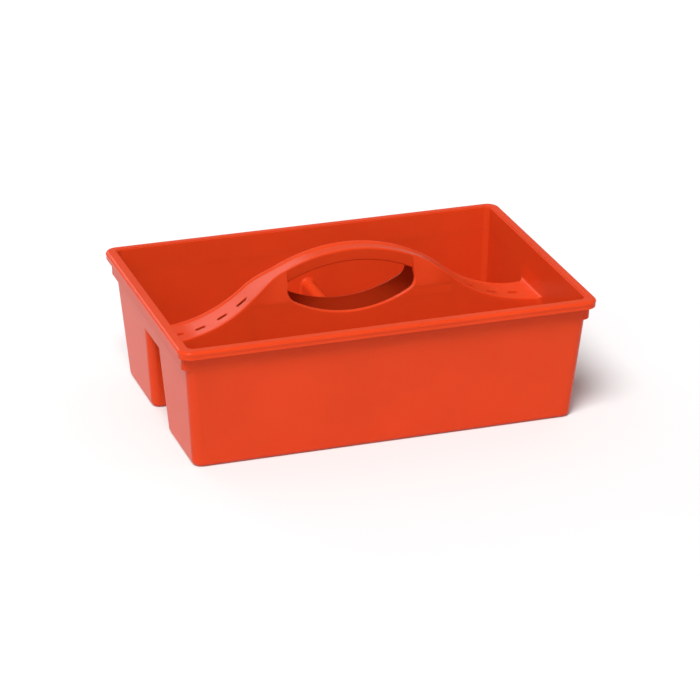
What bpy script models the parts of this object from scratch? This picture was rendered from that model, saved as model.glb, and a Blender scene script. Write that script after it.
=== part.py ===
"""Cleaning caddy: a two-tub carry tray moulded in one piece, with an arched carrying handle.

Metres, +Z up.  The origin is the middle of the base, on the surface that the caddy stands on.
+X runs along the length and the arched handle, +Y towards the rear tub.
The real caddy is a single plastic moulding.  Each object below is one named region of it, kept
a hairline clear of its neighbours: floors, walls, notch jambs, divider, handle, rim and ledges.
The divider is hollow and open from below, and the hand opening under the grip looks into it.
"""
import math

import bmesh
import bpy

# Overall size
RIM_LENGTH = 0.400
RIM_WIDTH = 0.2745
RIM_TOP = 0.1231
HANDLE_TOP = 0.1521
FLOOR_LENGTH = 0.3666
FLOOR_WIDTH = 0.2312

# Moulding
WALL = 0.0030
SKIN = 0.0025
GAP = 0.0003
CORNER_RADIUS = 0.009
NOTCH_RADIUS = 0.008
BASE_EDGE_RADIUS = 0.0045
BASE_CHAMFER_HEIGHT = 0.0009
ARC_STEPS = 4

# Rim: a flange with a turned-down skirt
RIM_OVERHANG = 0.0071
RIM_THICKNESS = 0.0025
SKIRT_DROP = 0.0078
SKIRT_THICKNESS = 0.0022
RIM_CORNER_RADIUS = 0.011
MITRE_HALF_ANGLE = 0.03

# Stacking ledge under the rim of each end wall
LEDGE_BOTTOM = 0.1010
LEDGE_DEPTH = 0.0033
LEDGE_SETBACK = 0.005

# Hollow divider and the channel below it, with skins thinner than the tubs' walls
DIVIDER_HALF_AT_FLOOR = 0.0273
DIVIDER_DRAFT = 0.083
CREASE_HEIGHT = 0.1093
CREASE_REACH = 0.0975
NOTCH_TOP = 0.0802
DIVIDER_COLUMNS = (8, 6, 10)

# Handle strap: a convex arc over the middle, then a concave arc down to each end wall
STRAP_THICKNESS = 0.0030
CROWN_RADIUS = 0.150
SWEEP_ANGLE = math.radians(41)
VALLEY_RADIUS = 0.1264
NECK_HALF_WIDTH = 0.0105
NECK_START = 0.066
NECK_END = 0.097
FLARE_START = 0.150
FLARE_LENGTH = 0.035
FLARE_WIDTH = 0.0033
GRIP_SECTIONS = 16
RAMP_SECTIONS = 26

# Hand opening between the grip and the curved edges of the divider's two sides below it
OPENING_HALF_LENGTH = 0.062
SILL_HEIGHT = 0.0918
SILL_RADIUS = 0.120
GRIP_DEPTH = 0.0123

# Slots along the handle strap
SLOT_POSITIONS = (0.104, 0.123, 0.144, 0.165)
SLOT_LENGTH = 0.010
SLOT_WIDTH = 0.0037
SLOT_OFFSET = -0.004
SLOT_CUTTER_HEIGHT = 0.016

# Low hollow partition across the rear tub
PARTITION_TOP = 0.0717
PARTITION_HALF_TOP = 0.006
PARTITION_DRAFT = 0.083
PARTITION_ARC_START = math.radians(30)
PARTITION_ARC_END = math.radians(150)

PLASTIC_COLOUR = (0.72, 0.060, 0.020, 1.0)
PLASTIC_ROUGHNESS = 0.38

HALF_PI = math.pi / 2
QUARTER_PI = math.pi / 4


# Sizes that follow from the driving dimensions

def half_length(z):
    """Outer half length of the tubs at height z: the end walls lean outwards."""
    top = RIM_LENGTH / 2 - RIM_OVERHANG
    return FLOOR_LENGTH / 2 + (top - FLOOR_LENGTH / 2) * z / RIM_TOP


def half_width(z):
    """Outer half width of the caddy at height z."""
    top = RIM_WIDTH / 2 - RIM_OVERHANG
    return FLOOR_WIDTH / 2 + (top - FLOOR_WIDTH / 2) * z / RIM_TOP


def divider_half(z):
    """Distance from the middle to the divider's face inside a tub."""
    return DIVIDER_HALF_AT_FLOOR - DIVIDER_DRAFT * z


def channel_half(z):
    """Half width of the channel under the divider."""
    return divider_half(z) - SKIN


def partition_half(z):
    """Half thickness of the low partition, outside its two skins."""
    return PARTITION_HALF_TOP + PARTITION_DRAFT * (PARTITION_TOP - z)


def base_inset(z):
    """How far the rounded bottom edge pulls in at height z."""
    if z >= BASE_EDGE_RADIUS:
        return 0.0
    return BASE_EDGE_RADIUS - math.sqrt(BASE_EDGE_RADIUS ** 2 - (BASE_EDGE_RADIUS - z) ** 2)


def strap_top(x):
    """Height of the strap's upper face at x."""
    x = abs(x)
    crown_end = CROWN_RADIUS * math.sin(SWEEP_ANGLE)
    if x <= crown_end:
        return HANDLE_TOP - CROWN_RADIUS + math.sqrt(CROWN_RADIUS ** 2 - x ** 2)
    valley_x = crown_end + VALLEY_RADIUS * math.sin(SWEEP_ANGLE)
    valley_z = HANDLE_TOP - (CROWN_RADIUS + VALLEY_RADIUS) * (1 - math.cos(SWEEP_ANGLE))
    if x >= valley_x:
        return valley_z
    return valley_z + VALLEY_RADIUS - math.sqrt(VALLEY_RADIUS ** 2 - (valley_x - x) ** 2)


def strap_half(x):
    """Half width of the strap at x: narrow at the grip, as wide as the divider further out."""
    x = abs(x)
    wide = divider_half(strap_top(max(x, NECK_END)))
    if x > FLARE_START:
        wide += FLARE_WIDTH * min((x - FLARE_START) / FLARE_LENGTH, 1.0) ** 2
    t = min(max((x - NECK_START) / (NECK_END - NECK_START), 0.0), 1.0)
    return NECK_HALF_WIDTH + (wide - NECK_HALF_WIDTH) * t * t * (3 - 2 * t)


def sill_top(x):
    """Height of the curved sill of the hand opening at x."""
    return SILL_HEIGHT + SILL_RADIUS - math.sqrt(SILL_RADIUS ** 2 - x ** 2)


def grip_bottom(x):
    """Lower edge of the grip's skirts at x, concentric with its upper face."""
    radius = CROWN_RADIUS - GRIP_DEPTH
    return HANDLE_TOP - CROWN_RADIUS + math.sqrt(radius ** 2 - x ** 2)


def steps(start, end, count):
    """count + 1 evenly spaced values from start to end."""
    return [start + (end - start) * i / count for i in range(count + 1)]


# Mesh helpers

def clear_scene():
    for old in list(bpy.data.objects):
        bpy.data.objects.remove(old, do_unlink=True)


def plastic(name):
    """The caddy's semi-gloss orange-red polypropylene."""
    material = bpy.data.materials.new(name)
    material.use_nodes = True
    shader = material.node_tree.nodes["Principled BSDF"]
    shader.inputs["Base Color"].default_value = PLASTIC_COLOUR
    shader.inputs["Roughness"].default_value = PLASTIC_ROUGHNESS
    shader.inputs["Metallic"].default_value = 0.0
    return material


def loft(name, rings, material):
    """A closed solid through rings of points, each ring a closed loop, with flat ends."""
    mesh = bpy.data.meshes.new(name)
    bm = bmesh.new()
    loops = [[bm.verts.new(point) for point in ring] for ring in rings]
    count = len(rings[0])
    for near, far in zip(loops, loops[1:]):
        for i in range(count):
            j = (i + 1) % count
            bm.faces.new((near[i], near[j], far[j], far[i]))
    bm.faces.new(loops[0])
    bm.faces.new(loops[-1])
    bmesh.ops.recalc_face_normals(bm, faces=bm.faces)
    bm.to_mesh(mesh)
    bm.free()
    mesh.materials.append(material)
    mesh.shade_smooth()
    mesh.set_sharp_from_angle(angle=math.radians(35))
    part = bpy.data.objects.new(name, mesh)
    bpy.context.scene.collection.objects.link(part)
    return part


def on_corner(corner, angle, z, depth=0.0):
    """A point of a rounded plan corner at height z, depth inwards from the outer face.

    corner is (x at z, y at z, x sign, y sign, radius): the sharp corner and the way it points.
    """
    x_at, y_at, x_sign, y_sign, radius = corner
    centre_x = x_at(z) - x_sign * radius
    centre_y = y_at(z) - y_sign * radius
    reach = radius - (depth if depth else base_inset(z))
    return (centre_x + reach * math.cos(angle), centre_y + reach * math.sin(angle), z)


def tub_corner(x_sign, y_sign):
    """An outer vertical corner of a tub."""
    return (lambda z: x_sign * half_length(z), lambda z: y_sign * half_width(z),
            x_sign, y_sign, CORNER_RADIUS)


def notch_corner(x_sign, y_sign):
    """The vertical corner where a tub's end wall turns into the channel."""
    return (lambda z: x_sign * half_length(z), lambda z: y_sign * channel_half(z),
            x_sign, -y_sign, NOTCH_RADIUS)


def middle_angle(corner):
    """The direction that a corner points in."""
    return math.atan2(corner[3], corner[2])


def wall_strip(name, stations, heights, material):
    """A wall that follows stations in plan, each (corner, angle, shift along Y)."""
    rings = []
    for corner, angle, shift in stations:
        outer = [on_corner(corner, angle, z) for z in heights]
        inner = [on_corner(corner, angle, z, WALL) for z in reversed(heights)]
        rings.append([(x, y + shift, z) for x, y, z in outer + inner])
    return loft(name, rings, material)


# Sub-parts

def long_wall(name, y_sign, material):
    """The front or rear wall with half of the rounded corner at each end."""
    left = tub_corner(-1, y_sign)
    right = tub_corner(1, y_sign)
    square = y_sign * HALF_PI
    slack = MITRE_HALF_ANGLE * y_sign
    angles_left = steps(middle_angle(left) - slack, square, ARC_STEPS)
    angles_right = steps(square, middle_angle(right) + slack, ARC_STEPS)
    stations = [(left, angle, 0.0) for angle in angles_left]
    stations += [(right, angle, 0.0) for angle in angles_right]
    return wall_strip(name, stations, wall_heights(), material)


def wall_heights():
    """Levels at which a wall's section is taken, from the floor plate to the rim."""
    return [WALL + GAP, BASE_EDGE_RADIUS, RIM_TOP - RIM_THICKNESS - GAP]


def end_wall(name, x_sign, y_sign, material):
    """One tub's share of an end wall, from the outer corner to the notch jamb."""
    outer = tub_corner(x_sign, y_sign)
    notch = notch_corner(x_sign, y_sign)
    square = 0.0 if x_sign > 0 else y_sign * math.pi
    slack = MITRE_HALF_ANGLE * x_sign * y_sign
    angles = steps(middle_angle(outer) - slack, square, ARC_STEPS)
    stations = [(outer, angle, 0.0) for angle in angles]
    stations.append((notch, square, y_sign * GAP / 2))
    return wall_strip(name, stations, wall_heights(), material)


def notch_jamb(name, x_sign, y_sign, material):
    """The rounded upright where an end wall turns into the channel."""
    notch = notch_corner(x_sign, y_sign)
    along_end = 0.0 if x_sign > 0 else math.pi
    along_channel = -y_sign * HALF_PI
    if x_sign < 0 and y_sign > 0:
        along_end = -math.pi
    angles = steps(along_end, along_channel, 2 * ARC_STEPS)
    heights = [WALL + GAP, BASE_EDGE_RADIUS, NOTCH_TOP - GAP]
    stations = [(notch, angle, 0.0) for angle in angles]
    stations[0] = (notch, angles[0], -y_sign * GAP / 2)
    return wall_strip(name, stations, heights, material)


def notch_panel(name, x_sign, material):
    """The end wall above the notch, joining the two tubs."""
    rings = []
    for z in (NOTCH_TOP, RIM_TOP - RIM_THICKNESS - GAP):
        outer = x_sign * half_length(z)
        inner = x_sign * (half_length(z) - WALL)
        side = channel_half(z) + NOTCH_RADIUS - GAP
        rings.append([(outer, -side, z), (outer, side, z), (inner, side, z), (inner, -side, z)])
    return loft(name, rings, material)


def floor_outline(corners, z):
    """The edge of a floor plate at height z, round its corners in order."""
    points = []
    for corner in corners:
        middle = middle_angle(corner)
        if corner[4] == 0.0:
            points.append((corner[0](z), corner[1](z), z))
            continue
        for angle in steps(middle - QUARTER_PI, middle + QUARTER_PI, ARC_STEPS):
            points.append(on_corner(corner, angle, z))
    return points


def floor_plate(name, corners, material):
    """A flat floor with its bottom edge rounded where it meets the outer walls."""
    levels = (0.0, BASE_CHAMFER_HEIGHT, WALL)
    return loft(name, [floor_outline(corners, z) for z in levels], material)


def partition_corner(x_sign, y_at, y_sign):
    """The square corner of a floor plate beside the low partition."""
    return (lambda z: x_sign * (partition_half(z) + GAP), y_at, -x_sign, y_sign, 0.0)


def floors(material):
    """One floor for the front tub, and one for each side of the rear tub's partition."""
    front = [tub_corner(-1, -1), tub_corner(1, -1), notch_corner(1, -1), notch_corner(-1, -1)]
    floor_plate("front_tub_floor", front, material)
    channel_side = lambda z: channel_half(z) + base_inset(z)
    rear_side = lambda z: half_width(z) - base_inset(z)
    right = [notch_corner(1, 1), tub_corner(1, 1), partition_corner(1, rear_side, 1),
             partition_corner(1, channel_side, -1)]
    floor_plate("rear_right_floor", right, material)
    left = [tub_corner(-1, 1), notch_corner(-1, 1), partition_corner(-1, channel_side, -1),
            partition_corner(-1, rear_side, 1)]
    floor_plate("rear_left_floor", left, material)


def partition(material):
    """The low partition across the rear tub, two skins joined by a rounded top."""
    foot = GAP
    shoulder = PARTITION_TOP - PARTITION_HALF_TOP
    outer = [(partition_half(foot), foot), (partition_half(shoulder), shoulder)]
    for angle in steps(PARTITION_ARC_START, PARTITION_ARC_END, ARC_STEPS):
        rise = PARTITION_HALF_TOP * math.sin(angle)
        outer.append((PARTITION_HALF_TOP * math.cos(angle), shoulder + rise))
    outer += [(-x, z) for x, z in reversed(outer[:2])]
    top = PARTITION_TOP - SKIN
    inner = [(SKIN - partition_half(foot), foot), (SKIN - partition_half(top), top)]
    inner += [(-x, z) for x, z in reversed(inner)]
    profile = outer + inner
    near = [(x, divider_half(z) + GAP + base_clearance(z), z) for x, z in profile]
    far = [(x, half_width(z) - WALL - GAP - base_clearance(z), z) for x, z in profile]
    return loft("rear_partition", [near, far], material)


def base_clearance(z):
    """Keeps the partition's feet inside the rounded bottom edge."""
    return max(0.0, base_inset(z) - WALL)


def divider_wall(name, y_sign, material):
    """One drafted side of the hollow divider, cut away below the grip for the hand opening."""
    in_opening, to_crease, to_end = DIVIDER_COLUMNS
    outer_side = steps(OPENING_HALF_LENGTH + GAP, CREASE_REACH, to_crease)
    outer_side += steps(CREASE_REACH, divider_end(NOTCH_TOP), to_end)[1:]
    half = steps(0.0, OPENING_HALF_LENGTH, in_opening) + outer_side
    columns = [-x for x in reversed(half[1:])] + half
    rings = []
    for x in columns:
        if abs(x) <= OPENING_HALF_LENGTH:
            top = sill_top(x)
        else:
            top = strap_top(x) - STRAP_THICKNESS - GAP
        crease = min(CREASE_HEIGHT, top - GAP)
        top_half = divider_half(top)
        if top > CREASE_HEIGHT + GAP:
            rise = (top - CREASE_HEIGHT) / (strap_top(x) - CREASE_HEIGHT)
            top_half = divider_half(crease) + (strap_half(x) - divider_half(crease)) * rise
        foot = WALL + GAP
        face = [(divider_half(foot), foot), (divider_half(crease), crease), (top_half, top)]
        back = [(y - SKIN, z) for y, z in reversed(face)]
        rings.append([(lean_in(x, z), y_sign * y, z) for y, z in face + back])
    return loft(name, rings, material)


def divider_end(z):
    """Where the divider's sides stop at height z, a hairline short of the notch jambs."""
    return half_length(z) - NOTCH_RADIUS - GAP


def lean_in(x, z):
    """Follows the end wall's draft towards the ends, so the joint there stays a hairline."""
    pull = max(divider_end(NOTCH_TOP) - divider_end(z), 0.0)
    share = max(0.0, (abs(x) - CREASE_REACH) / (divider_end(NOTCH_TOP) - CREASE_REACH))
    return x - math.copysign(pull * share, x)


def grip(material):
    """The grip over the hand opening: an inverted U with a flat top and two skirts."""
    rings = []
    outer = NECK_HALF_WIDTH
    inner = NECK_HALF_WIDTH - SKIN
    for x in steps(-OPENING_HALF_LENGTH, OPENING_HALF_LENGTH, GRIP_SECTIONS):
        top = strap_top(x)
        low = grip_bottom(x)
        under = top - STRAP_THICKNESS
        rings.append([(x, -outer, low), (x, -outer, top), (x, outer, top), (x, outer, low),
                      (x, inner, low), (x, inner, under), (x, -inner, under), (x, -inner, low)])
    return loft("handle_grip", rings, material)


def strap_ramp(name, x_sign, material):
    """The strap from one end of the grip down to the end wall, with its row of slots."""
    rings = []
    end = half_length(strap_top(RIM_LENGTH / 2)) - WALL - 2 * GAP
    for x in steps(OPENING_HALF_LENGTH + GAP, end, RAMP_SECTIONS):
        top = strap_top(x)
        low = top - STRAP_THICKNESS
        side = strap_half(x)
        rings.append([(x_sign * x, -side, low), (x_sign * x, side, low),
                      (x_sign * x, side, top), (x_sign * x, -side, top)])
    ramp = loft(name, rings, material)
    for number, x in enumerate(SLOT_POSITIONS, 1):
        cutter = slot_cutter(name + "_slot_cutter_" + str(number), x_sign * x, material)
        cut = ramp.modifiers.new("slot_" + str(number), "BOOLEAN")
        cut.operation = "DIFFERENCE"
        cut.object = cutter
    return ramp


def slot_cutter(name, x, material):
    """A round-ended block that cuts one slot through the strap."""
    radius = SLOT_WIDTH / 2
    straight = SLOT_LENGTH / 2 - radius
    outline = []
    for side in (1, -1):
        start = -HALF_PI if side > 0 else HALF_PI
        for angle in steps(start, start + math.pi, ARC_STEPS):
            reach = side * straight + radius * math.cos(angle)
            outline.append((x + reach, SLOT_OFFSET + radius * math.sin(angle)))
    low = strap_top(x) - SLOT_CUTTER_HEIGHT
    high = strap_top(x) + SLOT_CUTTER_HEIGHT
    cutter = loft(name, [[(px, py, z) for px, py in outline] for z in (low, high)], material)
    cutter.display_type = "WIRE"
    cutter.hide_render = True
    return cutter


def rim_ring(x_sign, y_sign, angle):
    """The rim's section at one angle of a corner: flange, skirt and the space behind it."""
    outer_x = x_sign * (RIM_LENGTH / 2 - RIM_CORNER_RADIUS)
    outer_y = y_sign * (RIM_WIDTH / 2 - RIM_CORNER_RADIUS)
    inner_x = x_sign * (half_length(RIM_TOP) - CORNER_RADIUS)
    inner_y = y_sign * (half_width(RIM_TOP) - CORNER_RADIUS)
    cos, sin = math.cos(angle), math.sin(angle)
    inner_reach = CORNER_RADIUS - WALL
    skirt_reach = RIM_CORNER_RADIUS - SKIRT_THICKNESS
    inner = (inner_x + inner_reach * cos, inner_y + inner_reach * sin)
    outer = (outer_x + RIM_CORNER_RADIUS * cos, outer_y + RIM_CORNER_RADIUS * sin)
    skirt = (outer_x + skirt_reach * cos, outer_y + skirt_reach * sin)
    under = RIM_TOP - RIM_THICKNESS
    hem = RIM_TOP - SKIRT_DROP
    return [(*inner, under), (*inner, RIM_TOP), (*outer, RIM_TOP), (*outer, hem), (*skirt, hem),
            (*skirt, under)]


def rim_side(name, first, second, material):
    """One side of the rim between two corners, mitred at both."""
    middle_first = math.atan2(first[1], first[0])
    middle_second = math.atan2(second[1], second[0])
    if middle_second < middle_first:
        middle_second += 2 * math.pi
    square = (middle_first + middle_second) / 2
    rings = []
    for angle in steps(middle_first + MITRE_HALF_ANGLE, square, ARC_STEPS):
        rings.append(rim_ring(*first, angle))
    for angle in steps(square, middle_second - MITRE_HALF_ANGLE, ARC_STEPS):
        rings.append(rim_ring(*second, angle))
    return loft(name, rings, material)


def end_ledge(name, x_sign, material):
    """The stepped ledge under the rim of one end wall, which keeps stacked caddies apart."""
    rings = []
    top = RIM_TOP - SKIRT_DROP - GAP
    for z in (LEDGE_BOTTOM, top):
        near = x_sign * (half_length(top) + GAP)
        far = x_sign * (half_length(top) + LEDGE_DEPTH)
        side = half_width(z) - LEDGE_SETBACK
        face = side - LEDGE_DEPTH / 2
        rings.append([(near, -side, z), (far, -face, z), (far, face, z), (near, side, z)])
    return loft(name, rings, material)


def build():
    clear_scene()
    tub = plastic("tub_plastic")
    handle = plastic("handle_plastic")
    rim = plastic("rim_plastic")

    floors(tub)
    partition(tub)
    long_wall("front_wall", -1, tub)
    long_wall("rear_wall", 1, tub)
    for x_sign, end_name in ((-1, "left"), (1, "right")):
        for y_sign, tub_name in ((-1, "front"), (1, "rear")):
            end_wall(tub_name + "_tub_" + end_name + "_wall", x_sign, y_sign, tub)
            notch_jamb(end_name + "_notch_" + tub_name + "_jamb", x_sign, y_sign, tub)
        notch_panel(end_name + "_notch_panel", x_sign, tub)
        strap_ramp(end_name + "_handle_ramp", x_sign, handle)
        end_ledge(end_name + "_stacking_ledge", x_sign, rim)
    divider_wall("front_divider_wall", -1, handle)
    divider_wall("rear_divider_wall", 1, handle)
    grip(handle)
    rim_side("front_rim", (-1, -1), (1, -1), rim)
    rim_side("right_rim", (1, -1), (1, 1), rim)
    rim_side("rear_rim", (1, 1), (-1, 1), rim)
    rim_side("left_rim", (-1, 1), (-1, -1), rim)


build()
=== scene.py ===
"""The looks of the cleaning caddy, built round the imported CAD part.

The real caddy is one injection moulding, so its visible skin is cut from one continuous solid:
a basin, minus the space in it, plus the hollow divider with its handle, minus the channel, the hand
opening and the slots.  The finished moulding is then parted on flat faces, where no joint shows.
"""
import math

import bmesh
import bpy
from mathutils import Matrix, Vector


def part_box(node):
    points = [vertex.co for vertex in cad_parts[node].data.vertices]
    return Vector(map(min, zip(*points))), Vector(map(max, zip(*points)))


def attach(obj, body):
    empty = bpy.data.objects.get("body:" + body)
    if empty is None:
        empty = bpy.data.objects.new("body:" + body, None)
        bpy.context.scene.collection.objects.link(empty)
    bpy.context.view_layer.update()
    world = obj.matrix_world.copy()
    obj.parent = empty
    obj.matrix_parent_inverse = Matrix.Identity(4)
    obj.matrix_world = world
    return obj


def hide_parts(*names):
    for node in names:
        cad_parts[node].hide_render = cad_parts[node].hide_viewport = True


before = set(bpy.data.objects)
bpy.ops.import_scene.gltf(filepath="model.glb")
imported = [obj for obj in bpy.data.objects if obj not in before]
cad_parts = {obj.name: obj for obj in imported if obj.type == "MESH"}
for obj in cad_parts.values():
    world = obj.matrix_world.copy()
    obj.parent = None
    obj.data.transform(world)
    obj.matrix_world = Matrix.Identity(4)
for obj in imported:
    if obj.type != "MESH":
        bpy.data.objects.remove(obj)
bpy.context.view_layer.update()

HALF_PI = math.pi / 2

# Driving sizes, read from the frame
RIM_LOW, RIM_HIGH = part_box("front_rim")
SIDE_RIM_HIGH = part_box("right_rim")[1]
LEDGE_LOW, LEDGE_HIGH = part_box("right_stacking_ledge")
GRIP_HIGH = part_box("handle_grip")[1]
RIM_TOP = RIM_HIGH.z
RIM_HEM = RIM_LOW.z
RIM_HALF_LENGTH = SIDE_RIM_HIGH.x
RIM_HALF_WIDTH = -RIM_LOW.y
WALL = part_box("front_tub_floor")[1].z
OPENING_HALF, NECK_HALF_WIDTH, HANDLE_TOP = GRIP_HIGH
NOTCH_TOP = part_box("right_notch_panel")[0].z
PARTITION_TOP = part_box("rear_partition")[1].z
LEDGE_BOTTOM = LEDGE_LOW.z
LEDGE_REACH = LEDGE_HIGH.x

# Sizes that the frame's boxes don't give: tubs
RIM_OVERHANG = 0.0071
FLOOR_HALF_LENGTH = 0.1833
FLOOR_HALF_WIDTH = 0.1156
SKIN = 0.0025           # the divider, grip and partition are thinner than the tubs' walls
CORNER_RADIUS = 0.009
NOTCH_RADIUS = 0.008
BASE_EDGE_RADIUS = 0.0045
FLOOR_FILLET = 0.004
CORNER_STEPS = 10
EDGE_STEPS = 7

# Rim and the ledges under it
RIM_CORNER_RADIUS = 0.0125
RIM_EDGE_RADIUS = 0.0030
RIM_INNER_RADIUS = 0.0008
RIM_THICKNESS = 0.0025
RIM_ROOT = 0.0010       # the flange's underside starts this far out from the wall
RIM_BEAD_DEPTH = 0.0034
SKIRT_THICKNESS = 0.0022
SKIRT_FILLET = 0.0008
SKIRT_SETBACK = 0.0005  # the skirt stands back under the rounded bead of the rim's outer edge
HEM_RADIUS = 0.0005
LEDGE_EDGE_RADIUS = 0.0012
LEDGE_CORNER_RADIUS = 0.0065
LEDGE_SIDE_GAP = 0.0010

# Divider
DIVIDER_HALF_AT_FLOOR = 0.0273
DIVIDER_DRAFT = 0.083
DIVIDER_END_FILLET = 0.0055
STRAIGHT_END = 0.150    # beyond it the divider's sections lean with the end wall
CREASE_HEIGHT = 0.1093  # above it the divider's faces draw in to the strap
CREASE_SOFTNESS = 0.0007
CREASE_DEPTH = 0.004    # the crease stays at least this far below the strap's edge
FACE_LEVELS = (0.35, 0.7)
CHEEK_LEVELS = (0.012, 0.2, 0.4, 0.6, 0.8, 0.97)

# Handle strap
STRAP_THICKNESS = 0.0030
CROWN_RADIUS = 0.150
SWEEP_ANGLE = math.radians(41)
VALLEY_RADIUS = 0.1264
NECK_START = 0.066
NECK_END = 0.097
FLARE_START = 0.150
FLARE_LENGTH = 0.035
FLARE_WIDTH = 0.0033
STRAP_EDGE_RADIUS = 0.0014
STRAP_END_FILLET = 0.0025
BEAD_WIDTH = 0.0022     # a raised bead runs along both edges of the strap
BEAD_HEIGHT = 0.0014
BEAD_END = 0.172
BEAD_FADE = 0.020
INNER_CORNER = 0.002

# Hand opening
SILL_HEIGHT = 0.0938
SILL_RADIUS = 0.116
OPENING_CORNER = 0.012
SPRING_HEIGHT = 0.1184  # above it the opening's two sides are upright
LIP_RADIUS = 0.0020
LIP_SWEEP = math.radians(82)
GRIP_DEPTH = 0.0123
GRIP_EDGE = 0.0014
TUNNEL_SHARE = 0.6      # of the opening's height; the grip's cutter overlaps it from GRIP_SHARE up
GRIP_SHARE = 0.4

# Slots through the strap
SLOT_POSITIONS = (0.104, 0.123, 0.144, 0.165)
SLOT_LENGTH = 0.010
SLOT_WIDTH = 0.0044
SLOT_OFFSET = -0.004
SLOT_EASE = 0.0003
SLOT_EASE_SWEEP = (math.radians(30), math.radians(81))
SLOT_REACH = 0.016

# Low partition across the rear tub
PARTITION_HALF_TOP = 0.006
PARTITION_DRAFT = 0.083
PARTITION_FILLET = 0.003
PARTITION_FOOT_RADIUS = 0.002

# Seams between the pieces
DIVIDER_ZONE = 0.034
FOOT_SEAM = 0.008
RIM_SEAM_DROP = 0.0005  # below the ledges
HANDLE_SEAM_DROP = 0.001  # below the crease

# Solid modelling
HEAL = 0.000004         # edges shorter than this are merged away
SLIVER = 0.00003        # keeps two cutters from sharing a face
OUTSIDE = 0.05          # how far a cutter reaches beyond what it cuts
EMBED = 0.0012          # how far an added solid reaches into the wall that it grows from
SHARP_ANGLE = math.radians(38)
FLAT_ANGLE = math.radians(0.02)

# Looks
PLASTIC_COLOUR = (0.64, 0.051, 0.010)
PLASTIC_ROUGHNESS = 0.28
TINT_DRIFT = 0.04
CAMERA_AZIMUTH = math.radians(-18.373)
CAMERA_ELEVATION = math.radians(23.01)
CAMERA_DISTANCE = 3.118
CAMERA_LENS = 169.88
CAMERA_TARGET = (0.00125, -0.00623, 0.04786)


# Sizes that follow from the driving ones

def half_length(z):
    """Half the tubs' outer length at height z."""
    top = RIM_HALF_LENGTH - RIM_OVERHANG
    return FLOOR_HALF_LENGTH + (top - FLOOR_HALF_LENGTH) * z / RIM_TOP


def half_width(z):
    """Half the tubs' outer width at height z."""
    top = RIM_HALF_WIDTH - RIM_OVERHANG
    return FLOOR_HALF_WIDTH + (top - FLOOR_HALF_WIDTH) * z / RIM_TOP


def divider_half(z):
    """Half the divider's outer width at height z."""
    return DIVIDER_HALF_AT_FLOOR - DIVIDER_DRAFT * z


def partition_half(z):
    """Half the partition's outer thickness at height z."""
    return PARTITION_HALF_TOP + PARTITION_DRAFT * (PARTITION_TOP - z)


def strap_top(x):
    """Height of the handle strap: a convex crown, then a concave valley down to each end."""
    x = abs(x)
    crown_end = CROWN_RADIUS * math.sin(SWEEP_ANGLE)
    if x <= crown_end:
        return HANDLE_TOP - CROWN_RADIUS + math.sqrt(CROWN_RADIUS ** 2 - x ** 2)
    valley_x = crown_end + VALLEY_RADIUS * math.sin(SWEEP_ANGLE)
    valley_z = HANDLE_TOP - (CROWN_RADIUS + VALLEY_RADIUS) * (1 - math.cos(SWEEP_ANGLE))
    if x >= valley_x:
        return valley_z
    return valley_z + VALLEY_RADIUS - math.sqrt(VALLEY_RADIUS ** 2 - (valley_x - x) ** 2)


def strap_half(x):
    """Half width of the strap: narrow at the grip, as wide as the divider further out."""
    x = abs(x)
    if x < OPENING_HALF - 2 * SLIVER:
        return NECK_HALF_WIDTH - 2 * SLIVER
    wide = divider_half(strap_top(max(x, NECK_END)))
    if x > FLARE_START:
        wide += FLARE_WIDTH * min((x - FLARE_START) / FLARE_LENGTH, 1.0) ** 2
    t = min(max((x - NECK_START) / (NECK_END - NECK_START), 0.0), 1.0)
    return mix(NECK_HALF_WIDTH, wide, smooth(t))


def sill_top(x):
    """Lower edge of the hand opening."""
    return SILL_HEIGHT + SILL_RADIUS - math.sqrt(SILL_RADIUS ** 2 - x ** 2)


def grip_bottom(x):
    """Lower edge of the grip's skirts, concentric with its crown."""
    return HANDLE_TOP - CROWN_RADIUS + math.sqrt((CROWN_RADIUS - GRIP_DEPTH) ** 2 - x ** 2)


def steps(start, end, count):
    """The ends and inner points of count equal steps."""
    return [start + (end - start) * i / count for i in range(count + 1)]


def mix(a, b, t):
    return a + (b - a) * t


def smooth(t):
    """An S-curve from 0 to 1."""
    return t * t * (3 - 2 * t)


# Mesh helpers

def solid(name, rings, wrap=False):
    """A closed solid through equal rings of points; wrap joins the last ring to the first."""
    mesh = bpy.data.meshes.new(name)
    bm = bmesh.new()
    loops = [[bm.verts.new(point) for point in ring] for ring in rings]
    count = len(rings[0])
    pairs = list(zip(loops, loops[1:]))
    if wrap:
        pairs.append((loops[-1], loops[0]))
    for near, far in pairs:
        for i in range(count):
            j = (i + 1) % count
            bm.faces.new((near[i], near[j], far[j], far[i]))
    if not wrap:
        bm.faces.new(loops[0])
        bm.faces.new(loops[-1])
    bmesh.ops.recalc_face_normals(bm, faces=bm.faces)
    bm.to_mesh(mesh)
    bm.free()
    piece = bpy.data.objects.new(name, mesh)
    bpy.context.scene.collection.objects.link(piece)
    return piece


def block(name, low, high):
    """A rectangular cutter between two corners."""
    base = [(low[0], low[1]), (high[0], low[1]), (high[0], high[1]), (low[0], high[1])]
    return solid(name, [[(x, y, z) for x, y in base] for z in (low[2], high[2])])


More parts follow.
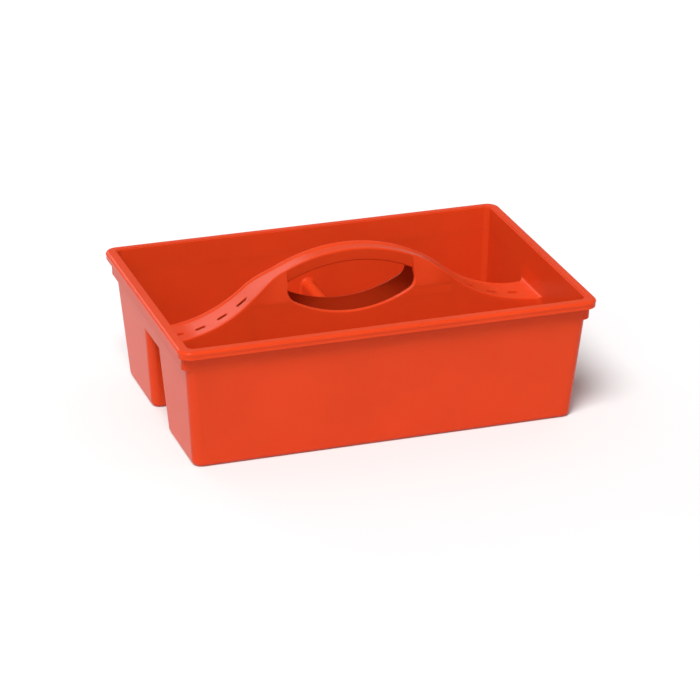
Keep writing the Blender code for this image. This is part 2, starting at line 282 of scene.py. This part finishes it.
def combine(target, tool, operation, keep_tool=False):
    """Applies one exact Boolean to target, heals its sliver edges and drops the tool."""
    change = target.modifiers.new("combine", "BOOLEAN")
    change.operation = operation
    change.solver = "EXACT"
    change.object = tool
    depsgraph = bpy.context.evaluated_depsgraph_get()
    result = bpy.data.meshes.new_from_object(target.evaluated_get(depsgraph))
    target.modifiers.remove(change)
    bm = bmesh.new()
    bm.from_mesh(result)
    bmesh.ops.remove_doubles(bm, verts=bm.verts, dist=HEAL)
    bmesh.ops.dissolve_degenerate(bm, edges=bm.edges, dist=HEAL)
    bmesh.ops.triangulate(bm, faces=[face for face in bm.faces if len(face.verts) > 4])
    bm.to_mesh(result)
    bm.free()
    target.data = result
    if not keep_tool:
        bpy.data.objects.remove(tool, do_unlink=True)
    return target


def part_off(whole, tool, name):
    """Takes the part of whole inside tool away as a new piece called name."""
    piece = whole.copy()
    piece.name = name
    bpy.context.scene.collection.objects.link(piece)
    combine(piece, tool, "INTERSECT", keep_tool=True)
    combine(whole, tool, "DIFFERENCE")
    return piece


# Basin: outside, rim, ledges and the space inside

def outline(half_x, half_y, radius, inset, z):
    """A rounded rectangle, its edge pulled in by inset round fixed corner centres."""
    points = []
    for corner, (x_sign, y_sign) in enumerate(((1, 1), (-1, 1), (-1, -1), (1, -1))):
        centre_x = x_sign * (half_x - radius)
        centre_y = y_sign * (half_y - radius)
        for angle in steps(corner * HALF_PI, (corner + 1) * HALF_PI, CORNER_STEPS):
            reach = radius - inset
            points.append((centre_x + reach * math.cos(angle), centre_y + reach * math.sin(angle), z))
    return points


def basin_block():
    """The outside of both tubs as one block, with a rounded bottom edge."""
    levels = []
    for angle in steps(0.0, HALF_PI, EDGE_STEPS):
        inset = BASE_EDGE_RADIUS * (1 - math.sin(angle))
        levels.append((BASE_EDGE_RADIUS * (1 - math.cos(angle)), inset))
    levels += [(z, 0.0) for z in steps(BASE_EDGE_RADIUS, RIM_TOP - EMBED / 2, 6)[1:]]
    return solid("moulding", [outline(half_length(z), half_width(z), CORNER_RADIUS, inset, z)
                              for z, inset in levels])


def basin_space():
    """The space inside the outer walls, rounded at the floor and flared at the rim."""
    levels = []
    for angle in steps(0.0, HALF_PI, EDGE_STEPS):
        inset = WALL + FLOOR_FILLET * (1 - math.sin(angle))
        levels.append((WALL + FLOOR_FILLET * (1 - math.cos(angle)), inset))
    levels += [(z, WALL) for z in steps(WALL + FLOOR_FILLET, RIM_TOP - RIM_INNER_RADIUS, 6)[1:]]
    for angle in steps(0.0, HALF_PI, 5)[1:]:
        inset = WALL - RIM_INNER_RADIUS * (1 - math.cos(angle))
        levels.append((RIM_TOP - RIM_INNER_RADIUS * (1 - math.sin(angle)), inset))
    levels.append((RIM_TOP + OUTSIDE, WALL - RIM_INNER_RADIUS))
    rings = []
    for z, inset in levels:
        at = min(z, RIM_TOP)
        rings.append(outline(half_length(at), half_width(at), CORNER_RADIUS, inset, z))
    return solid("basin_space", rings)


def rim_ring():
    """The flange and its turned-down skirt, swept once round the top."""
    arc = [(math.cos(a), math.sin(a)) for a in steps(0.0, HALF_PI, 4)]
    under = RIM_TOP - RIM_THICKNESS
    # each point is out from the wall's outline or from the rim's outline, at a height
    profile = [("wall", -EMBED, under), ("wall", 0.0, under), ("wall", RIM_ROOT, under)]
    for cos, sin in arc:
        profile.append(("rim", -SKIRT_THICKNESS - SKIRT_FILLET * (1 - sin),
                        under - SKIRT_FILLET * (1 - cos)))
    for cos, sin in arc:
        profile.append(("rim", HEM_RADIUS * (1 - cos) - SKIRT_THICKNESS, RIM_HEM + HEM_RADIUS * (1 - sin)))
    for cos, sin in arc:
        profile.append(("rim", HEM_RADIUS * (sin - 1) - SKIRT_SETBACK, RIM_HEM + HEM_RADIUS * (1 - cos)))
    profile.append(("rim", -SKIRT_SETBACK, RIM_TOP - RIM_BEAD_DEPTH - SKIRT_SETBACK))
    profile.append(("rim", -SKIRT_SETBACK / 4, RIM_TOP - RIM_BEAD_DEPTH - SKIRT_SETBACK / 2))
    for angle in steps(0.0, HALF_PI, 8):
        profile.append(("rim", RIM_EDGE_RADIUS * (math.cos(angle) - 1),
                        RIM_TOP + RIM_EDGE_RADIUS * (math.sin(angle) - 1)))
    profile.append(("wall", -EMBED, RIM_TOP))
    rings = []
    for corner, (x_sign, y_sign) in enumerate(((1, 1), (-1, 1), (-1, -1), (1, -1))):
        for angle in steps(corner * HALF_PI, (corner + 1) * HALF_PI, CORNER_STEPS):
            ring = []
            for path, offset, z in profile:
                if path == "rim":
                    half_x, half_y, radius = RIM_HALF_LENGTH, RIM_HALF_WIDTH, RIM_CORNER_RADIUS
                else:
                    half_x, half_y, radius = half_length(RIM_TOP), half_width(RIM_TOP), CORNER_RADIUS
                reach = radius + offset
                ring.append((x_sign * (half_x - radius) + reach * math.cos(angle),
                             y_sign * (half_y - radius) + reach * math.sin(angle), z))
            rings.append(ring)
    return solid("rim_ring", rings, wrap=True)


def ledge(x_sign):
    """The step under the rim of one end wall, its lower and upright edges rounded."""
    edge = LEDGE_EDGE_RADIUS
    corner = LEDGE_CORNER_RADIUS
    rings = []
    levels = [(LEDGE_BOTTOM + edge * (1 - math.cos(a)), edge * (1 - math.sin(a)))
              for a in steps(0.0, HALF_PI, 4)]
    levels.append((RIM_TOP - WALL / 2, 0.0))
    for z, inset in levels:
        side = half_width(z) - LEDGE_SIDE_GAP - inset
        reach = LEDGE_REACH - inset
        base = half_length(z) - CORNER_RADIUS + EMBED
        ring = [(base, -side, z)]
        for angle in steps(-HALF_PI, 0.0, 5):
            ring.append((reach - corner + corner * math.cos(angle),
                         corner - side + corner * math.sin(angle), z))
        for angle in steps(0.0, HALF_PI, 5):
            ring.append((reach - corner + corner * math.cos(angle),
                         side - corner + corner * math.sin(angle), z))
        ring.append((base, side, z))
        rings.append([(x_sign * x, y, z) for x, y, z in ring])
    return solid("ledge", rings)


# Divider and handle

def end_stations(fillet_steps):
    """How the divider's last stations are placed: (kind, value), up to one end wall."""
    stations = [("lean", t) for t in steps(0.0, 1.0, 8)[1:]]
    return stations + [("arc", angle) for angle in steps(0.0, HALF_PI, fillet_steps)[1:]]


def place(station, end, radius):
    """x and sideways flare of a station, for a fillet of radius that ends at end."""
    kind, value = station
    if kind == "x":
        return value, 0.0
    if kind == "lean":
        return mix(STRAIGHT_END, end - radius, value), 0.0
    if kind == "arc":
        return end - radius + radius * math.sin(value), radius * (1 - math.cos(value))
    if kind == "beyond":
        return end + value, radius
    return value, radius  # an "outside" station, well past the end wall


def mirrored(sections):
    """Sections from the middle to one end, each a half profile, made into whole rings."""
    rings = []
    for section in [[(-x, y, z) for x, y, z in half] for half in reversed(sections[1:])] + sections:
        rings.append(section + [(x, -y, z) for x, y, z in reversed(section)])
    return rings


def divider_outside():
    """The divider and handle as they look from inside the tubs, the hand opening still solid."""
    sections = []
    stations = [("x", x) for x in steps(0.0, STRAIGHT_END, 60)]
    for station in stations + end_stations(7) + [("beyond", EMBED)]:
        section = []

        def add(side, z, lift=0.0):
            end = half_length(min(z, RIM_TOP)) - WALL
            x, flare = place(station, end, DIVIDER_END_FILLET)
            section.append((x, side + flare, z + lift))

        middle = place(station, half_length(NOTCH_TOP) - WALL, DIVIDER_END_FILLET)[0]
        lift = place(station, 1.0, STRAP_END_FILLET)[1]
        top = strap_top(middle)
        side = strap_half(middle)
        edge = top - STRAP_EDGE_RADIUS
        crease = min(CREASE_HEIGHT, edge - CREASE_DEPTH)
        flare = max(side - divider_half(top), 0.0) if middle > NECK_END else 0.0
        section_floor(add)
        for t in FACE_LEVELS:
            z = mix(WALL + FLOOR_FILLET, crease - CREASE_SOFTNESS, t)
            add(divider_half(z) + flare * t, z)
        low_side = divider_half(crease) + flare
        add(low_side, crease - CREASE_SOFTNESS)
        for t in CHEEK_LEVELS:
            add(mix(low_side, side, t), mix(crease + CREASE_SOFTNESS, edge, t))
        for angle in steps(0.0, HALF_PI, 6):
            add(side - STRAP_EDGE_RADIUS * (1 - math.cos(angle)),
                edge + STRAP_EDGE_RADIUS * math.sin(angle), lift)
        bead = BEAD_HEIGHT * min(1.0, max(0.0, (BEAD_END - middle) / BEAD_FADE))
        inner = side - STRAP_EDGE_RADIUS - BEAD_WIDTH / 3
        for t in steps(0.0, 1.0, 4):
            add(inner - BEAD_WIDTH * t, top - bead * smooth(t), lift)
        add(side / 3, top - bead, lift)
        sections.append(section)
    return solid("divider_outside", mirrored(sections))


def section_floor(add):
    """The divider's foot: down in the floor, then a fillet up to the drafted side."""
    foot = WALL + FLOOR_FILLET
    add(divider_half(WALL) + FLOOR_FILLET, WALL - EMBED)
    for angle in steps(0.0, HALF_PI, 6):
        z = foot - FLOOR_FILLET * math.cos(angle)
        add(divider_half(z) + FLOOR_FILLET * (1 - math.sin(angle)), z)


def divider_space():
    """The hollow under the divider and strap, running out through both end notches."""
    grip_end = OPENING_HALF + SKIN
    stations = [("x", x) for x in steps(0.0, grip_end, 26) + steps(grip_end + SLIVER, STRAIGHT_END, 34)]
    sections = []
    for station in stations + end_stations(8) + [("outside", RIM_HALF_LENGTH + OUTSIDE)]:
        section = []

        def add(side, z, lift=0.0):
            inset = base_inset(z)
            radius = NOTCH_RADIUS - inset
            x, flare = place(station, half_length(max(z, 0.0)) - inset, radius)
            section.append((x, side + inset + flare, z + lift))

        middle = place(station, half_length(NOTCH_TOP), NOTCH_RADIUS)[0]
        lift = place(station, 1.0, NOTCH_RADIUS / 4)[1]
        top = strap_top(middle) - STRAP_THICKNESS
        side = min(strap_half(middle), divider_half(top)) - SKIN
        crease = min(CREASE_HEIGHT, top - CREASE_DEPTH)
        add(divider_half(0.0) - SKIN, -OUTSIDE)
        for angle in steps(0.0, HALF_PI, 6):
            z = BASE_EDGE_RADIUS * (1 - math.cos(angle))
            add(divider_half(z) - SKIN, z)
        for z in (mix(BASE_EDGE_RADIUS, crease, 0.5), crease):
            add(divider_half(z) - SKIN, z)
        if middle <= grip_end:
            grip_edge = grip_bottom(middle) - GRIP_EDGE
            add(face_half(grip_end, grip_edge - 2 * SKIN) - SKIN, grip_edge - 2 * SKIN)
            add(side, grip_edge)
        else:
            for t in FACE_LEVELS:
                z = mix(crease, top - INNER_CORNER, t)
                add((face_half(middle, z) if middle < NECK_END else divider_half(z)) - SKIN, z)
        for angle in steps(0.0, HALF_PI, 4):
            add(side - INNER_CORNER * (1 - math.cos(angle)),
                top - INNER_CORNER * (1 - math.sin(angle)), lift)
        add(side / 3, top, lift)
        sections.append(section)
    return solid("divider_space", mirrored(sections))


def opening_curve(offset, top):
    """The lower edge of the hand opening, from its right side down and round to its left side."""
    arc_centre = SILL_HEIGHT + SILL_RADIUS
    corner_x = OPENING_HALF - OPENING_CORNER
    corner_z = arc_centre - math.sqrt((SILL_RADIUS - OPENING_CORNER) ** 2 - corner_x ** 2)
    turn = math.atan2(corner_z - arc_centre, corner_x)
    right = [(OPENING_HALF + offset, top)]
    for angle in steps(0.0, turn, 12):
        right.append((corner_x + (OPENING_CORNER + offset) * math.cos(angle),
                      corner_z + (OPENING_CORNER + offset) * math.sin(angle)))
    bottom = []
    for angle in steps(turn, -math.pi - turn, 36)[1:-1]:
        bottom.append(((SILL_RADIUS + offset) * math.cos(angle),
                       arc_centre + (SILL_RADIUS + offset) * math.sin(angle)))
    return right + bottom + [(-x, z) for x, z in reversed(right)]


def face_half(x, z):
    """Half the divider's width at x and z, beside and under the hand opening."""
    if z <= CREASE_HEIGHT:
        return divider_half(z)
    x = max(abs(x), OPENING_HALF)
    edge = strap_top(x) - STRAP_EDGE_RADIUS
    t = min((z - CREASE_HEIGHT) / (edge - CREASE_HEIGHT), 1.0)
    return mix(divider_half(CREASE_HEIGHT), strap_half(x), t)


def lip_cutter(y_sign):
    """Cuts one side of the hand opening, from the grip's face out, with a rounded lip."""
    high = HANDLE_TOP + OUTSIDE
    rings = [[(x, NECK_HALF_WIDTH + SLIVER, z) for x, z in opening_curve(0.0, high)]]
    for count, angle in enumerate(steps(0.0, LIP_SWEEP, 8)):
        depth = LIP_RADIUS * (1 - math.sin(angle))
        ring = []
        for x, z in opening_curve(LIP_RADIUS * (1 - math.cos(angle)), high):
            ring.append((x, max(face_half(x, z) - depth, NECK_HALF_WIDTH + SLIVER * (count + 2)), z))
        rings.append(ring)
    rings.append([(x, OUTSIDE, z) for x, y, z in rings[-1]])
    return solid("lip_cutter", [[(x, y_sign * y, z) for x, y, z in ring] for ring in rings])


def tunnel_cutter():
    """Clears the lower part of the hand opening, between its two lips."""
    reach = NECK_HALF_WIDTH + GRIP_EDGE
    lower = opening_curve(-SLIVER, SPRING_HEIGHT)
    upper = [(x, mix(sill_top(x), grip_bottom(x), TUNNEL_SHARE))
             for x in steps(-OPENING_HALF, OPENING_HALF, 24)[1:-1]]
    return solid("tunnel_cutter", [[(x, y, z) for x, z in lower + upper] for y in (-reach, reach)])


def grip_cutter():
    """Clears the upper part of the hand opening, round the grip's upright faces and lower edges."""
    sections = []
    high = HANDLE_TOP + OUTSIDE
    for x in steps(-OPENING_HALF + SLIVER, OPENING_HALF - SLIVER, 48):
        bottom = grip_bottom(x)
        side = [(OUTSIDE, mix(sill_top(x), bottom, GRIP_SHARE)), (OUTSIDE, high), (NECK_HALF_WIDTH, high)]
        for angle in steps(0.0, HALF_PI, 5):
            side.append((NECK_HALF_WIDTH - GRIP_EDGE * (1 - math.cos(angle)),
                         bottom + GRIP_EDGE * (1 - math.sin(angle))))
        sections.append([(x, y, z) for y, z in side] + [(x, -y, z) for y, z in reversed(side)])
    return solid("grip_cutter", sections)


def base_inset(z):
    """How far the rounded bottom edge pulls a face back at height z."""
    gap = BASE_EDGE_RADIUS - max(z, 0.0)
    if gap <= 0.0:
        return 0.0
    return BASE_EDGE_RADIUS - math.sqrt(max(BASE_EDGE_RADIUS ** 2 - gap ** 2, 0.0))


def slot_cutter(x):
    """A round-ended cutter for one slot through the strap, its upper rim eased."""
    radius = SLOT_WIDTH / 2
    straight = SLOT_LENGTH / 2 - radius
    levels = [(-SLOT_REACH, 0.0), (-SLOT_EASE, 0.0)]
    for angle in steps(*SLOT_EASE_SWEEP, 2):
        levels.append((-SLOT_EASE * (1 - math.sin(angle)), SLOT_EASE * (1 - math.cos(angle))))
    levels.append((SLOT_REACH, SLOT_EASE))
    rings = []
    for height, ease in levels:
        ring = []
        for side in (1, -1):
            for angle in steps(-HALF_PI, HALF_PI, 8):
                px = x + side * (straight + (radius + ease) * math.cos(angle))
                py = SLOT_OFFSET + side * (radius + ease) * math.sin(angle)
                ring.append((px, py, strap_top(px) - BEAD_HEIGHT + height))
        rings.append(ring)
    return solid("slot_cutter", rings)


# Low partition across the rear tub

def partition_solid(name, inward, flare_radius, low):
    """The partition, its skin pushed in by inward, from the divider to the rear wall."""
    quarter = steps(0.0, HALF_PI, 5)
    stations = [("divider", 0.0, 0.0), ("wall", 0.0, 0.0)]
    if flare_radius:
        stations = [("divider", HALF_PI, EMBED)] + [("divider", angle, 0.0) for angle in reversed(quarter)]
        stations += [("wall", angle, 0.0) for angle in quarter] + [("wall", HALF_PI, EMBED)]
    rings = []
    for end, angle, embed in stations:
        flare = flare_radius * (1 - math.cos(angle))
        setback = flare_radius * (1 - math.sin(angle)) - embed
        half = []
        for side, z in partition_profile(inward, low, flare):
            y = divider_half(z) + setback if end == "divider" else half_width(z) - WALL - setback
            half.append((side, y, z))
        rings.append(half + [(-x, y, z) for x, y, z in reversed(half[:-1])])
    return solid(name, rings)


def partition_profile(inward, low, flare):
    """Half of the partition's section from below up to the middle of its rounded top."""
    if inward:
        foot, floor, count = PARTITION_FOOT_RADIUS, 0.0, 4
    else:
        foot, floor, count = PARTITION_FILLET, WALL, 5
    points = [(partition_half(floor) - inward + foot, low)]
    for angle in steps(0.0, HALF_PI, count):
        z = floor + foot * (1 - math.cos(angle))
        points.append((partition_half(z) - inward + foot * (1 - math.sin(angle)), z))
    points = [(side + flare, z) for side, z in points]
    shoulder = PARTITION_TOP - PARTITION_HALF_TOP
    reach = PARTITION_HALF_TOP - inward + flare
    for turn in steps(0.0, HALF_PI, 6):
        points.append((reach * math.cos(turn), shoulder + reach * math.sin(turn)))
    return points


def build_moulding():
    """The whole caddy as one closed solid."""
    moulding = basin_block()
    combine(moulding, rim_ring(), "UNION")
    for x_sign in (-1, 1):
        combine(moulding, ledge(x_sign), "UNION")
    combine(moulding, basin_space(), "DIFFERENCE")
    combine(moulding, divider_outside(), "UNION")
    combine(moulding, partition_solid("partition_outside", 0.0, PARTITION_FILLET, WALL - EMBED), "UNION")
    combine(moulding, divider_space(), "DIFFERENCE")
    for y_sign in (-1, 1):
        combine(moulding, lip_cutter(y_sign), "DIFFERENCE")
    combine(moulding, tunnel_cutter(), "DIFFERENCE")
    combine(moulding, grip_cutter(), "DIFFERENCE")
    combine(moulding, partition_solid("partition_space", SKIN, 0.0, -OUTSIDE), "DIFFERENCE")
    for x in SLOT_POSITIONS:
        for x_sign in (-1, 1):
            combine(moulding, slot_cutter(x_sign * x), "DIFFERENCE")
    return moulding


# Pieces: the moulding parted on flat faces across straight stretches

def region(name, outline_xz, reach):
    """A prism over an outline in x and z, from -reach to reach in y."""
    return solid(name, [[(x, y, z) for x, z in outline_xz] for y in (-reach, reach)])


def part_moulding(whole):
    """The moulding's pieces by name; what is left of whole at the end is the front tub."""
    far = RIM_HALF_LENGTH + OUTSIDE
    high = HANDLE_TOP + OUTSIDE
    seam = CROWN_RADIUS * math.sin(SWEEP_ANGLE)
    rim_seam = LEDGE_BOTTOM - RIM_SEAM_DROP
    handle_seam = CREASE_HEIGHT - HANDLE_SEAM_DROP
    pieces = {}

    def take(name, tool):
        pieces[name] = part_off(whole, tool, name)

    take("handle", block("region", (-seam, -DIVIDER_ZONE, handle_seam), (seam, DIVIDER_ZONE, high)))
    for name, x_sign in (("left_divider_end", -1), ("right_divider_end", 1)):
        ends = [(seam, FOOT_SEAM), (far, FOOT_SEAM), (far, rim_seam), (STRAIGHT_END, rim_seam),
                (STRAIGHT_END, high), (seam, high)]
        take(name, region("region", [(x_sign * x, z) for x, z in ends], DIVIDER_ZONE))
    take("rim", block("region", (-far, -far, rim_seam), (far, far, high)))
    take("divider", block("region", (-seam, -DIVIDER_ZONE, FOOT_SEAM), (seam, DIVIDER_ZONE, high)))
    wide = 3 * PARTITION_HALF_TOP
    take("rear_partition", block("region", (-wide, DIVIDER_ZONE, FOOT_SEAM),
                                 (wide, half_width(0.0) - DIVIDER_END_FILLET, high)))
    take("rear_tub", block("region", (-far, 0.0, -OUTSIDE), (far, far, high)))
    whole.name = "front_tub"
    pieces["front_tub"] = whole
    return pieces


def finish_mesh(piece):
    """Smooth shading, with edges kept sharp where two faces really meet at an angle."""
    mesh = piece.data
    bm = bmesh.new()
    bm.from_mesh(mesh)
    bmesh.ops.remove_doubles(bm, verts=bm.verts, dist=HEAL)
    bmesh.ops.dissolve_limit(bm, angle_limit=FLAT_ANGLE, use_dissolve_boundaries=False,
                             verts=bm.verts, edges=bm.edges, delimit=set())
    bmesh.ops.triangulate(bm, faces=[face for face in bm.faces if len(face.verts) > 4])
    bm.to_mesh(mesh)
    bm.free()
    mesh.shade_smooth()
    mesh.set_sharp_from_angle(angle=SHARP_ANGLE)
    weigh = piece.modifiers.new("weighted_normals", "WEIGHTED_NORMAL")
    weigh.mode = "FACE_AREA"
    weigh.weight = 70
    weigh.keep_sharp = True


# Material

def polypropylene(name, colour, grain_seed):
    """Injection-moulded polypropylene: a soft gloss over a very fine moulded grain."""
    material = bpy.data.materials.new(name)
    material.use_nodes = True
    nodes = material.node_tree.nodes
    links = material.node_tree.links
    shader = nodes["Principled BSDF"]
    shader.inputs["Roughness"].default_value = PLASTIC_ROUGHNESS
    shader.inputs["Specular IOR Level"].default_value = 0.10
    shader.inputs["Subsurface Weight"].default_value = 0.30
    shader.inputs["Subsurface Radius"].default_value = (1.0, 0.25, 0.10)
    shader.inputs["Subsurface Scale"].default_value = 0.004
    place = nodes.new("ShaderNodeTexCoord")
    shift = nodes.new("ShaderNodeMapping")
    shift.inputs["Location"].default_value = (grain_seed, 0.0, 0.0)
    links.new(place.outputs["Object"], shift.inputs["Vector"])

    def noise(scale, detail, roughness):
        node = nodes.new("ShaderNodeTexNoise")
        node.inputs["Scale"].default_value = scale
        node.inputs["Detail"].default_value = detail
        node.inputs["Roughness"].default_value = roughness
        links.new(shift.outputs["Vector"], node.inputs["Vector"])
        return node.outputs["Fac"]

    # flow marks: the colour drifts a little over several centimetres
    drift = nodes.new("ShaderNodeMapRange")
    drift.interpolation_type = "SMOOTHSTEP"
    drift.inputs["From Min"].default_value = 0.2
    drift.inputs["From Max"].default_value = 0.8
    links.new(noise(14.0, 3.0, 0.5), drift.inputs["Value"])
    tint = nodes.new("ShaderNodeMixRGB")
    tint.inputs["Color1"].default_value = (*[part * (1 - TINT_DRIFT) for part in colour], 1.0)
    tint.inputs["Color2"].default_value = (*[part * (1 + TINT_DRIFT) for part in colour], 1.0)
    links.new(drift.outputs["Result"], tint.inputs["Fac"])
    links.new(tint.outputs["Color"], shader.inputs["Base Color"])

    grain = nodes.new("ShaderNodeBump")
    grain.inputs["Strength"].default_value = 0.04
    grain.inputs["Distance"].default_value = 0.0001
    links.new(noise(1400.0, 2.0, 0.5), grain.inputs["Height"])
    ripple = nodes.new("ShaderNodeBump")
    ripple.inputs["Strength"].default_value = 0.06
    ripple.inputs["Distance"].default_value = 0.0006
    links.new(noise(22.0, 1.0, 0.4), ripple.inputs["Height"])
    links.new(grain.outputs["Normal"], ripple.inputs["Normal"])
    links.new(ripple.outputs["Normal"], shader.inputs["Normal"])
    return material


# Studio

def build_camera():
    """A long lens on the caddy's front left, a little above it."""
    data = bpy.data.cameras.new("camera")
    data.lens = CAMERA_LENS
    data.clip_end = 20.0
    camera = bpy.data.objects.new("camera", data)
    bpy.context.scene.collection.objects.link(camera)
    level = math.cos(CAMERA_ELEVATION)
    away = Vector((math.sin(CAMERA_AZIMUTH) * level, -math.cos(CAMERA_AZIMUTH) * level,
                   math.sin(CAMERA_ELEVATION)))
    camera.location = Vector(CAMERA_TARGET) + away * CAMERA_DISTANCE
    camera.rotation_euler = away.to_track_quat("Z", "Y").to_euler()
    bpy.context.scene.camera = camera


def soft_light(name, place, aim, size, power):
    """A rectangular area light at place, facing aim."""
    data = bpy.data.lights.new(name, "AREA")
    data.shape = "RECTANGLE"
    data.size, data.size_y = size
    data.energy = power
    light = bpy.data.objects.new(name, data)
    bpy.context.scene.collection.objects.link(light)
    light.location = place
    light.rotation_euler = (Vector(place) - Vector(aim)).to_track_quat("Z", "Y").to_euler()


def soft_sun(name, direction, spread, power):
    """A distant light from direction, spread wide enough to give soft-edged shadows."""
    data = bpy.data.lights.new(name, "SUN")
    data.angle = math.radians(spread)
    data.energy = power
    light = bpy.data.objects.new(name, data)
    bpy.context.scene.collection.objects.link(light)
    light.rotation_euler = Vector(direction).to_track_quat("Z", "Y").to_euler()


def build_studio():
    """White surroundings and floor, a wide key high on the left, and soft lights before and behind."""
    scene = bpy.context.scene
    scene.view_settings.view_transform = "Standard"
    world = bpy.data.worlds.new("studio")
    world.use_nodes = True
    world.node_tree.nodes["Background"].inputs["Color"].default_value = (1.0, 1.0, 1.0, 1.0)
    world.node_tree.nodes["Background"].inputs["Strength"].default_value = 0.36
    scene.world = world
    aim = (0.0, 0.0, 0.08)
    soft_light("fill", (-1.7, -2.8, 1.7), aim, (1.4, 1.4), 14.0)
    soft_light("back", (-0.7, 2.3, 1.15), aim, (1.6, 0.8), 10.0)
    soft_sun("key", (-0.32, -0.46, 0.83), 26.0, 3.2)

    mesh = bpy.data.meshes.new("floor")
    bm = bmesh.new()
    bmesh.ops.create_grid(bm, x_segments=1, y_segments=1, size=8.0)
    bm.to_mesh(mesh)
    bm.free()
    floor = bpy.data.objects.new("floor", mesh)
    scene.collection.objects.link(floor)
    paper = bpy.data.materials.new("floor_paper")
    paper.use_nodes = True
    shader = paper.node_tree.nodes["Principled BSDF"]
    shader.inputs["Base Color"].default_value = (0.80, 0.80, 0.80, 1.0)
    shader.inputs["Roughness"].default_value = 0.9
    shader.inputs["Specular IOR Level"].default_value = 0.1
    mesh.materials.append(paper)


# Each visual piece's slot and the CAD nodes that it stands for
REPLACED = {
    "front_tub": ("tub_plastic", ("front_tub_floor", "front_wall", "front_tub_left_wall",
                                  "front_tub_right_wall")),
    "rear_tub": ("tub_plastic", ("rear_left_floor", "rear_right_floor", "rear_wall", "rear_tub_left_wall",
                                 "rear_tub_right_wall")),
    "rear_partition": ("tub_plastic", ("rear_partition",)),
    "divider": ("handle_plastic", ("front_divider_wall", "rear_divider_wall")),
    "left_divider_end": ("handle_plastic", ("left_handle_ramp", "left_notch_front_jamb",
                                            "left_notch_rear_jamb", "left_notch_panel")),
    "right_divider_end": ("handle_plastic", ("right_handle_ramp", "right_notch_front_jamb",
                                             "right_notch_rear_jamb", "right_notch_panel")),
    "handle": ("handle_plastic", ("handle_grip",)),
    "rim": ("rim_plastic", ("front_rim", "rear_rim", "left_rim", "right_rim", "left_stacking_ledge",
                            "right_stacking_ledge")),
}

build_camera()
build_studio()
plastics = {slot: polypropylene(slot, PLASTIC_COLOUR, count)
            for count, slot in enumerate(("tub_plastic", "handle_plastic", "rim_plastic"))}
for name, piece in part_moulding(build_moulding()).items():
    slot, nodes = REPLACED[name]
    finish_mesh(piece)
    piece.data.materials.clear()
    piece.data.materials.append(plastics[slot])
    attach(piece, "root")
    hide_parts(*nodes)
